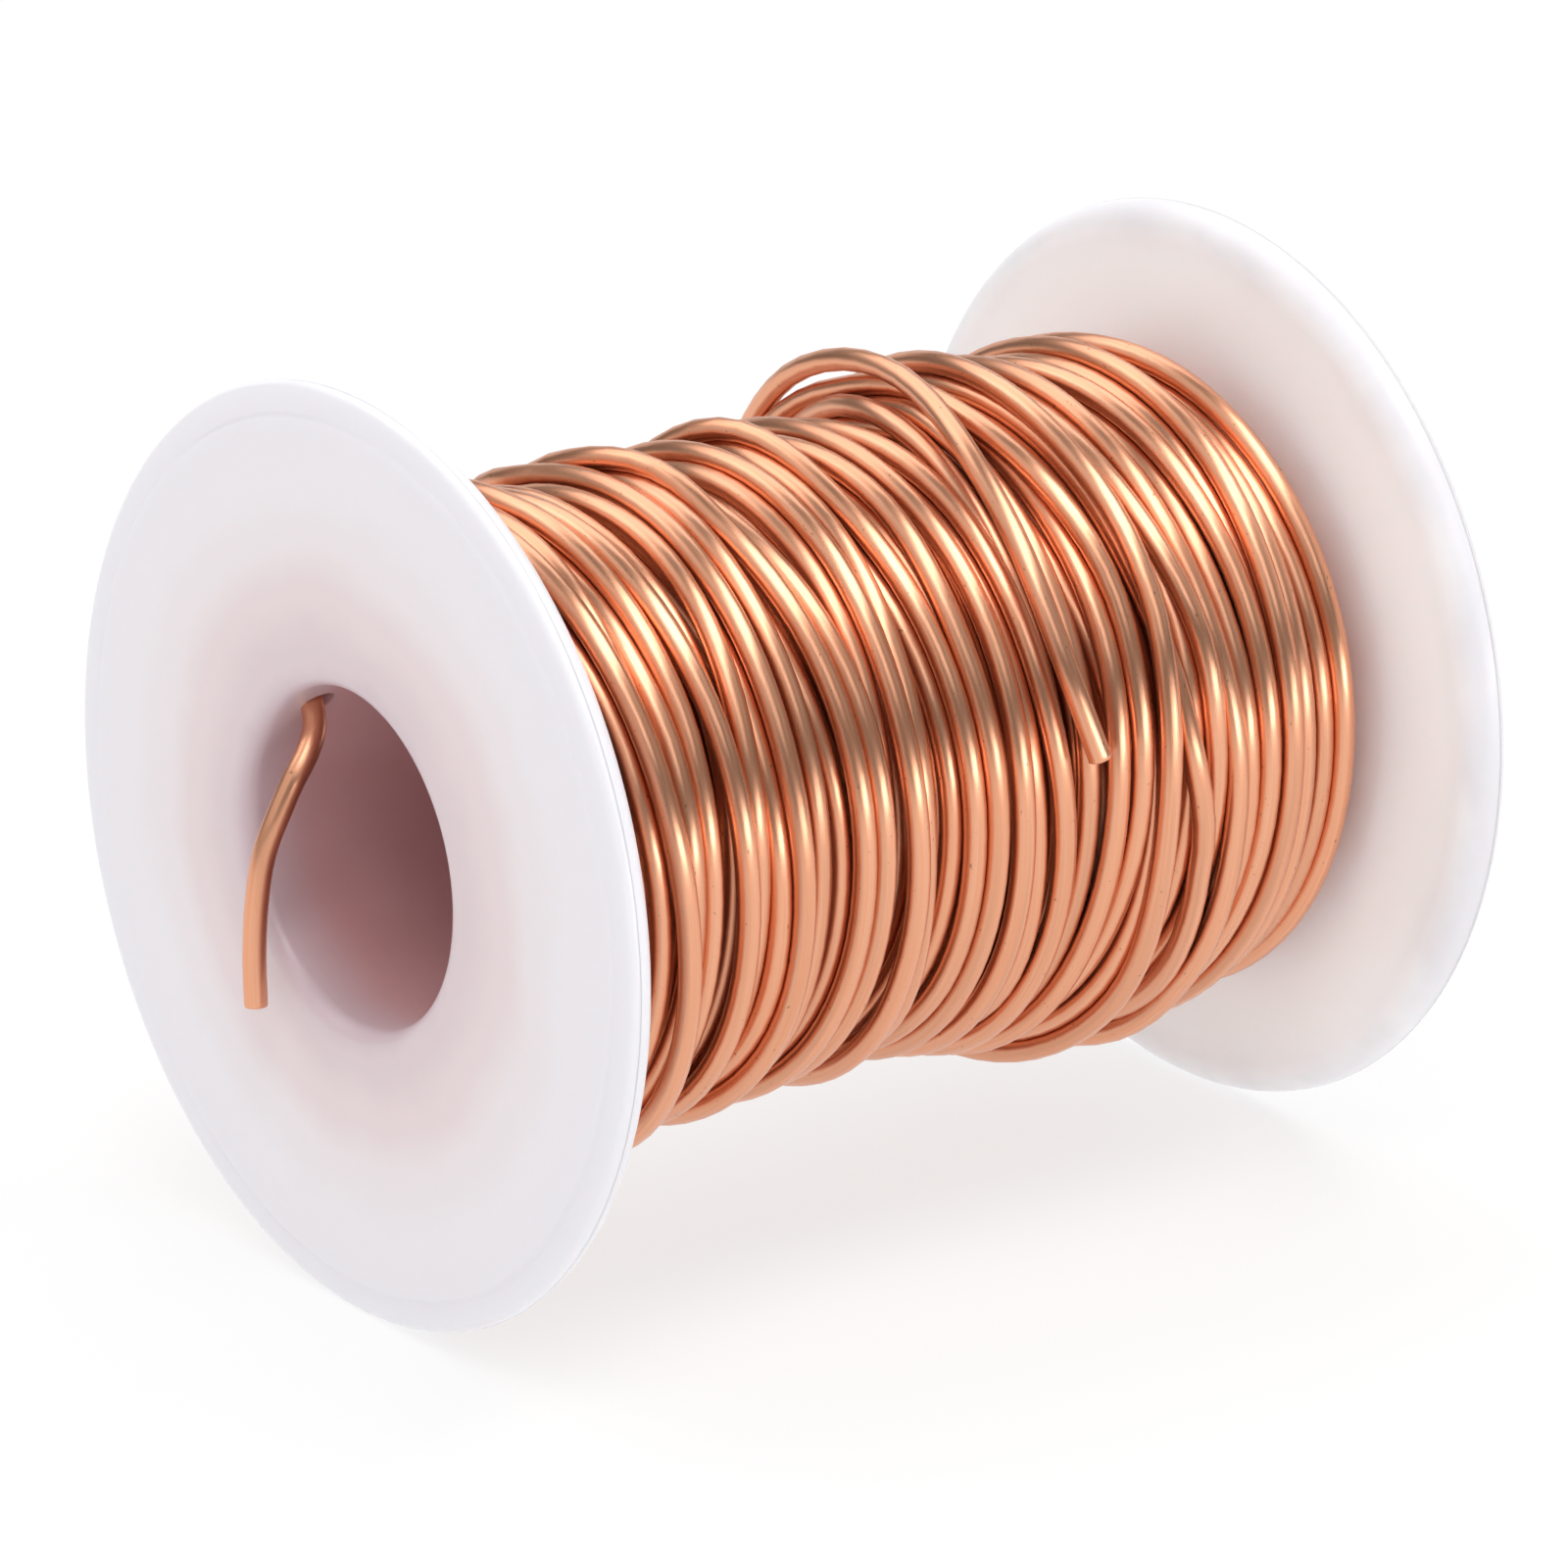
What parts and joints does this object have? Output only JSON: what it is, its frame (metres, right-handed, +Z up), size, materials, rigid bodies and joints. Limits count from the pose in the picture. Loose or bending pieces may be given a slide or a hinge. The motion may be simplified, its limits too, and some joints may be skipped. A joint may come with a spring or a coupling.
{
  "type": "wire spool",
  "caption": "Small translucent plastic spool wound with bare copper wire; round flanges on a hollow core, both wire ends free.",
  "frame": {"origin": "middle of the spool, on its axis", "axes": "+X along the spool's axis, from the flange where the inner wire end comes out to the other; +Z up, with the spool lying on its rims"},
  "size_m": [0.0609, 0.0508, 0.0508],
  "materials": {
    "flange_plastic": "satin, slightly translucent",
    "core_plastic": "satin, slightly translucent",
    "copper": "bare drawn copper, satin"
  },
  "bodies": {
    "root": {"front_flange": "flange_plastic", "rear_flange": "flange_plastic", "core_tube": "core_plastic", "wire_winding": "copper", "wire_inner_end": "copper", "wire_outer_end": "copper"}
  },
  "joints": []
}
